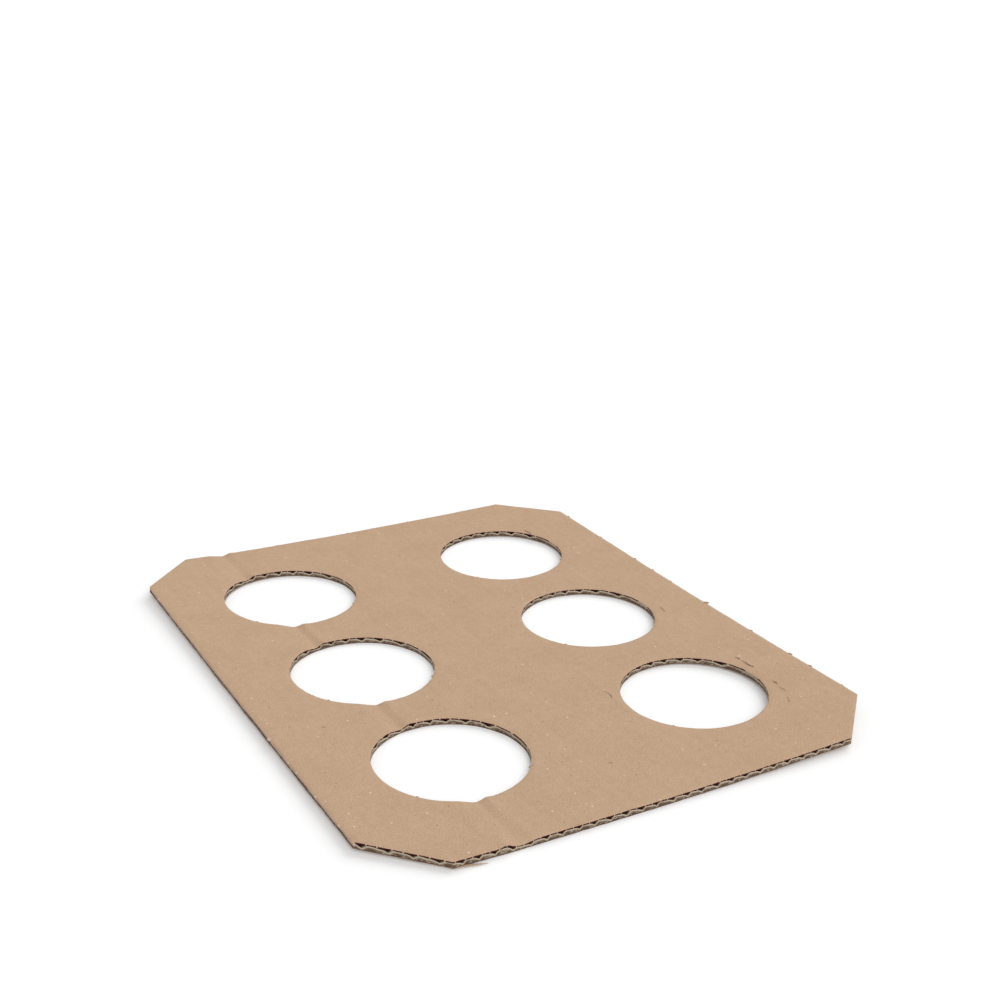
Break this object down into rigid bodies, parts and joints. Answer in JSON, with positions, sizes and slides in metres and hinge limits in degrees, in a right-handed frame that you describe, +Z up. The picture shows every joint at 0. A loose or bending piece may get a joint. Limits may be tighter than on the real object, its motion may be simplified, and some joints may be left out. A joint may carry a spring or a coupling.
{
  "type": "corrugated cardboard cup carrier sheet",
  "caption": "Flat die-cut sheet of brown corrugated cardboard with round cup holes, cut corners and a score line.",
  "frame": {"origin": "middle of the sheet, on its lower face", "axes": "+X across the sheet along its short side, +Y along its long side and the flutes, +Z up out of the upper face"},
  "size_m": [0.22, 0.28, 0.0028],
  "materials": {
    "kraft_board": "matte uncoated brown kraft paper"
  },
  "bodies": {
    "root": {"cup_carrier_sheet": "kraft_board"}
  },
  "joints": []
}
